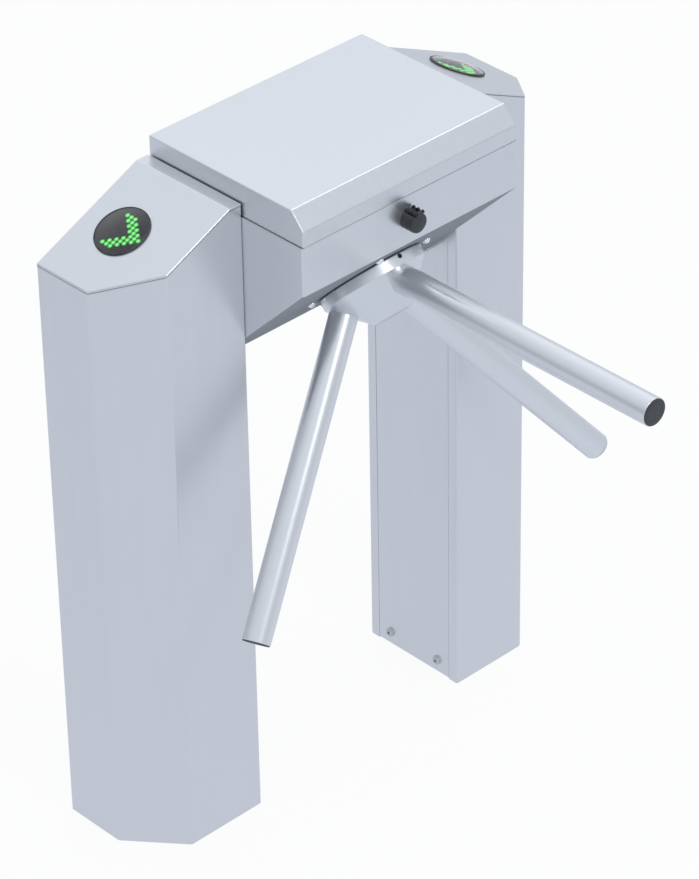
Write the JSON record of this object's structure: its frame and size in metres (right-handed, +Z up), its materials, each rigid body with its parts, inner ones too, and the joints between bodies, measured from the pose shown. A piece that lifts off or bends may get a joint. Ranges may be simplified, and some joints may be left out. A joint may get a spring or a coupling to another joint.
{
  "type": "tripod turnstile",
  "caption": "Waist-high tripod turnstile: sheet-metal legs joined by a lidded housing, with an inclined hub and polished arms that turn on a locking shaft.",
  "frame": {"origin": "on the floor, at the centre of the floor anchor pattern, midway between the legs and at the middle of their depth", "axes": "+X along the bridge from the near leg to the far leg, -Y to the front where the level arm points, +Z up"},
  "size_m": [0.794, 0.7417, 1.02],
  "materials": {
    "shell_steel": "satin sheet steel",
    "polished_steel": "polished stainless tube",
    "hub_metal": "fine satin, lightly polished",
    "bright_screw": "polished dome heads",
    "zinc_steel": "zinc plated",
    "cast_alloy": "cast, shot blasted",
    "bearing_steel": "ground and polished",
    "tool_steel": "machined and oiled",
    "black_plastic": "moulded black",
    "lock_black": "black coated",
    "lock_steel": "plated",
    "dark_window": "smoked and glossy",
    "lamp_green": "clear green lamps",
    "circuit_green": "circuit board",
    "standoff_brass": "plain",
    "coil_blue": "enamelled",
    "black_screw": "black oxide"
  },
  "bodies": {
    "root": {"near_leg": "shell_steel", "far_leg": "shell_steel", "near_cap": "shell_steel", "far_cap": "shell_steel", "near_service_panel": "shell_steel", "far_service_panel": "shell_steel", "housing_body": "shell_steel", "plate_screws": "bright_screw", "service_panel_bolts": "bright_screw", "near_base_plate": "zinc_steel", "far_base_plate": "zinc_steel", "mechanism_plate": "zinc_steel", "pawl_plate": "zinc_steel", "support_posts": "zinc_steel", "housing_bolts": "zinc_steel", "housing_nuts": "zinc_steel", "bearing_housing_bolts": "zinc_steel", "solenoid_brackets": "zinc_steel", "sensor_bracket": "zinc_steel", "lock_nut": "zinc_steel", "fixed_hinge_leaves": "zinc_steel", "hinge_pins": "zinc_steel", "pawl_pivots": "zinc_steel", "power_supply": "zinc_steel", "bearing_housing": "cast_alloy", "bearing_outer_rings": "bearing_steel", "bearing_balls": "bearing_steel", "position_sensor": "black_plastic", "cable_glands": "black_plastic", "near_indicator_bezel": "black_plastic", "far_indicator_bezel": "black_plastic", "lock_body": "lock_black", "near_indicator_lens": "dark_window", "far_indicator_lens": "dark_window", "near_lamp_board": "lamp_green", "far_lamp_board": "lamp_green", "control_board": "circuit_green", "board_standoffs": "standoff_brass", "near_solenoid": "coil_blue", "far_solenoid": "coil_blue"},
    "rotor": {"hub": "hub_metal", "front_arm": "polished_steel", "near_arm": "polished_steel", "far_arm": "polished_steel", "arm_caps": "black_plastic", "arm_set_screws": "black_screw", "main_shaft": "tool_steel", "bearing_inner_rings": "bearing_steel", "index_disc": "tool_steel", "sensor_disc": "tool_steel", "shaft_nut": "tool_steel"},
    "lid": {"lid": "shell_steel", "lid_hinge_leaves": "zinc_steel", "lid_keeper": "zinc_steel"},
    "lock_plug": {"lock_plug": "lock_steel"},
    "lock_cover": {"lock_cover": "lock_black"},
    "near_pawl": {"near_pawl": "tool_steel"},
    "far_pawl": {"far_pawl": "tool_steel"},
    "near_push_rod": {"near_push_rod": "tool_steel"},
    "far_push_rod": {"far_push_rod": "tool_steel"}
  },
  "joints": [
    {"name": "rotor_spin", "type": "hinge", "parent": "root", "child": "rotor", "pos_m": [0, -0.1215, 0.815], "axis": [0, -0.7071, -0.7071], "continuous": true},
    {"name": "lid_hinge", "type": "hinge", "parent": "root", "child": "lid", "pos_m": [0, 0.0954, 0.9716], "axis": [-1, 0, 0], "range_deg": [0, 95]},
    {"name": "lock_turn", "type": "hinge", "parent": "root", "child": "lock_plug", "pos_m": [-0.007, -0.2045, 0.9375], "axis": [0, 1, 0], "range_deg": [0, 90]},
    {"name": "lock_cover_flip", "type": "hinge", "parent": "root", "child": "lock_cover", "pos_m": [-0.007, -0.225, 0.953], "axis": [-1, 0, 0], "range_deg": [0, 110]},
    {"name": "near_pawl_swing", "type": "hinge", "parent": "root", "child": "near_pawl", "pos_m": [-0.086, -0.00624, 0.84823], "axis": [0, 0.7071, 0.7071], "range_deg": [0, 10]},
    {"name": "far_pawl_swing", "type": "hinge", "parent": "root", "child": "far_pawl", "pos_m": [0.086, -0.00624, 0.84823], "axis": [0, -0.7071, -0.7071], "range_deg": [0, 10]},
    {"name": "near_push_rod_slide", "type": "slide", "parent": "root", "child": "near_push_rod", "axis": [1, 0, 0], "range_m": [0, 0.01045]},
    {"name": "far_push_rod_slide", "type": "slide", "parent": "root", "child": "far_push_rod", "axis": [-1, 0, 0], "range_m": [0, 0.01045]}
  ],
  "couplings": [
    {"joint": "near_push_rod_slide", "follows": "near_pawl_swing", "m_per_rad": 0.059781},
    {"joint": "far_push_rod_slide", "follows": "far_pawl_swing", "m_per_rad": 0.059781}
  ]
}
